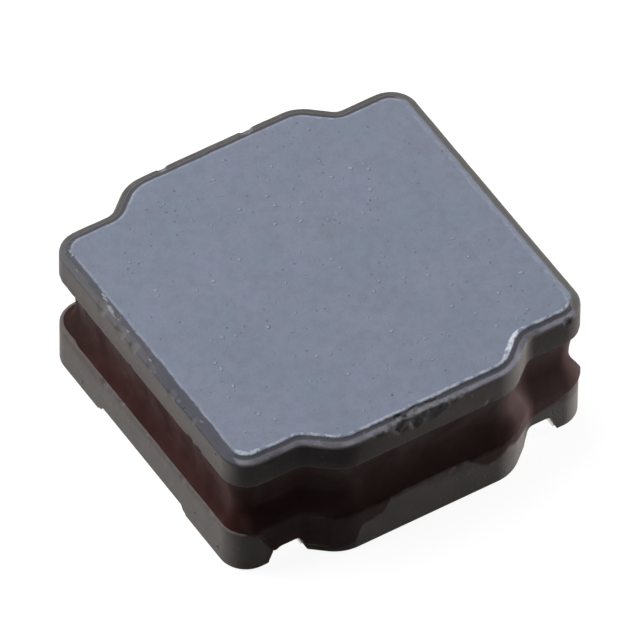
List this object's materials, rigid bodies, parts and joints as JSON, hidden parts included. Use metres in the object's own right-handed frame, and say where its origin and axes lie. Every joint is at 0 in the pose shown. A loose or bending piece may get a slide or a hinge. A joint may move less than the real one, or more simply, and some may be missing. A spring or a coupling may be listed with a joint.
{
  "type": "shielded smd inductor",
  "caption": "Low square surface-mount power inductor: ferrite drum core with stepped corners, a wire coil, and a dark resin fill in the gap between its flanges.",
  "frame": {"origin": "middle of the footprint, on the board's surface that the terminals rest on", "axes": "+Z away from the board; +X from the left terminal to the right one; the stepped sides of the flanges face -Y and +Y, and the wire's leads come down on the +Y side"},
  "size_m": [0.003, 0.003, 0.0012],
  "materials": {
    "ferrite": "fired and tumbled, satin",
    "enamelled_copper": "clear enamel over copper",
    "magnetic_resin": "cured resin with magnetic powder, half gloss",
    "terminal_plating": "tin plating, satin",
    "solder": "reflowed solder, half gloss"
  },
  "bodies": {
    "root": {"drum_core": "ferrite", "winding": "enamelled_copper", "resin_fill": "magnetic_resin", "terminal_left": "terminal_plating", "terminal_right": "terminal_plating", "solder_left": "solder", "solder_right": "solder"}
  },
  "joints": []
}
